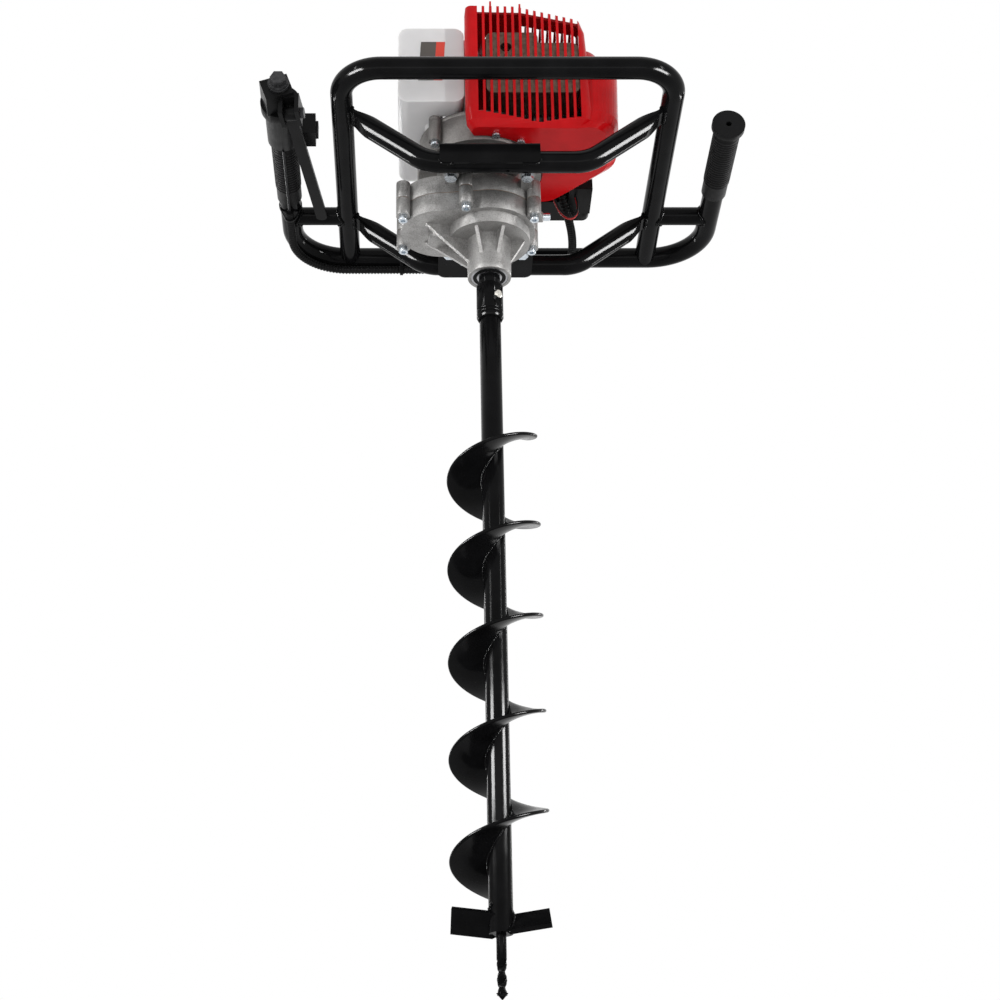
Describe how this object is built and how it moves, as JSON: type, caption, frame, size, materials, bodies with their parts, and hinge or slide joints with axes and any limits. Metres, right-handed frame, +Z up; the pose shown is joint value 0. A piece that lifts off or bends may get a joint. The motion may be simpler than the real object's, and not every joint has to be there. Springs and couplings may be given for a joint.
{
  "type": "earth auger",
  "caption": "Petrol earth auger: helical bit under a reduction gearbox and vertical-crank engine, carried in a tubular frame with side grips and a throttle lever.",
  "frame": {"origin": "the point of the pilot drill, on the auger axis", "axes": "+Z up the auger axis to the engine, +X towards the cylinder and plain grip, +Y towards the rear bar"},
  "size_m": [0.5505, 0.4015, 1.132],
  "materials": {
    "auger_paint": "gloss",
    "frame_paint": "gloss",
    "gear_steel": "machined",
    "bright_steel": "polished",
    "zinc_screws": "zinc plated",
    "bearing_steel": "ground",
    "cast_aluminium": "sand cast",
    "gasket_paper": "matt",
    "red_plastic": "gloss",
    "muffler_steel": "heat tinted",
    "plug": "satin",
    "black_rubber": "matt",
    "black_plastic": "matt",
    "black_bolts": "black oxide",
    "clear_rubber": "translucent",
    "tank_plastic": "translucent",
    "cable_sleeve": "matt",
    "wire_red": "matt"
  },
  "bodies": {
    "frame": {"gearbox_lower": "cast_aluminium", "gearbox_gasket": "gasket_paper", "gearbox_upper": "cast_aluminium", "gearbox_screws": "zinc_screws", "output_bearings": "bearing_steel", "small_bearings": "bearing_steel", "clutch_housing": "cast_aluminium", "frame_bolts": "zinc_screws", "fan_case": "cast_aluminium", "crankcase": "cast_aluminium", "crank_bearings": "bearing_steel", "cylinder_head": "cast_aluminium", "spark_plug": "plug", "plug_boot": "black_rubber", "muffler": "muffler_steel", "shroud": "red_plastic", "shroud_screws": "zinc_screws", "starter_cover": "red_plastic", "carburettor": "cast_aluminium", "air_filter_box": "black_plastic", "air_filter_cover": "black_plastic", "fuel_tank": "tank_plastic", "fuel_hose": "clear_rubber", "front_loop": "frame_paint", "handlebar": "frame_paint", "handle_struts": "frame_paint", "front_cradle": "frame_paint", "rear_cradle": "frame_paint", "front_plate": "frame_paint", "rear_plate": "frame_paint", "right_grip": "black_rubber", "left_grip": "black_rubber", "throttle_clamp": "black_plastic", "throttle_bolts": "black_bolts", "stop_switch": "black_plastic", "throttle_cable": "cable_sleeve", "conduit": "black_plastic", "cable_ties": "black_plastic", "stop_wires": "wire_red"},
    "auger": {"output_shaft": "gear_steel", "output_gear": "gear_steel", "drive_pin": "bright_steel", "auger_socket": "auger_paint", "auger_tube": "auger_paint", "auger_flight": "auger_paint", "cutting_blades": "auger_paint", "pilot_drill": "auger_paint"},
    "lay": {"layshaft": "gear_steel"},
    "input": {"input_pinion": "gear_steel", "clutch_drum": "gear_steel"},
    "crank": {"crankshaft": "gear_steel", "flywheel": "cast_aluminium", "clutch_shoes": "gear_steel"},
    "lever": {"throttle_lever": "black_plastic"},
    "carb_arm": {"carb_throttle_arm": "bright_steel"},
    "choke": {"choke_lever": "black_plastic"},
    "primer": {"primer_bulb": "clear_rubber"},
    "cap": {"fuel_cap": "black_plastic"},
    "pull": {"starter_handle": "black_plastic"},
    "button": {"stop_button": "black_plastic"}
  },
  "joints": [
    {"name": "auger_spin", "type": "hinge", "parent": "frame", "child": "auger", "pos_m": [0, 0, 0.84], "axis": [0, 0, 1], "continuous": true},
    {"name": "layshaft_spin", "type": "hinge", "parent": "frame", "child": "lay", "pos_m": [-0.054, 0, 0.89], "axis": [0, 0, 1], "continuous": true},
    {"name": "input_spin", "type": "hinge", "parent": "frame", "child": "input", "pos_m": [-0.009, 0, 0.91], "axis": [0, 0, 1], "continuous": true},
    {"name": "crank_spin", "type": "hinge", "parent": "frame", "child": "crank", "pos_m": [-0.009, 0, 1], "axis": [0, 0, 1], "continuous": true},
    {"name": "throttle_pull", "type": "hinge", "parent": "frame", "child": "lever", "pos_m": [-0.2225, -0.118, 0.952], "axis": [0.9914, -0.1305, 0], "range_deg": [0, 7], "stiffness_Nm_per_rad": 3, "springref_deg": -5.73},
    {"name": "carb_throttle", "type": "hinge", "parent": "frame", "child": "carb_arm", "pos_m": [0.063, 0.066, 1.0606], "axis": [0, 0, 1], "range_deg": [0, 56.5]},
    {"name": "choke_turn", "type": "hinge", "parent": "frame", "child": "choke", "pos_m": [0.058, 0.101, 1.0606], "axis": [1, 0, 0], "range_deg": [0, 70]},
    {"name": "primer_press", "type": "slide", "parent": "frame", "child": "primer", "axis": [0, 0, 1], "range_m": [0, 0.003], "stiffness_N_per_m": 300},
    {"name": "cap_turn", "type": "hinge", "parent": "frame", "child": "cap", "pos_m": [-0.076, 0.034, 1.08], "axis": [0, 0, 1], "range_deg": [0, 360]},
    {"name": "starter_pull", "type": "slide", "parent": "frame", "child": "pull", "axis": [0, 1, 0], "range_m": [0, 0.055], "stiffness_N_per_m": 60, "springref_m": -0.1},
    {"name": "stop_press", "type": "slide", "parent": "frame", "child": "button", "axis": [-1, 0, 0], "range_m": [0, 0.0025], "stiffness_N_per_m": 400}
  ],
  "couplings": [
    {"joint": "layshaft_spin", "follows": "auger_spin", "ratio": -5},
    {"joint": "input_spin", "follows": "auger_spin", "ratio": 32.5},
    {"joint": "carb_throttle", "follows": "throttle_pull", "ratio": 8}
  ]
}
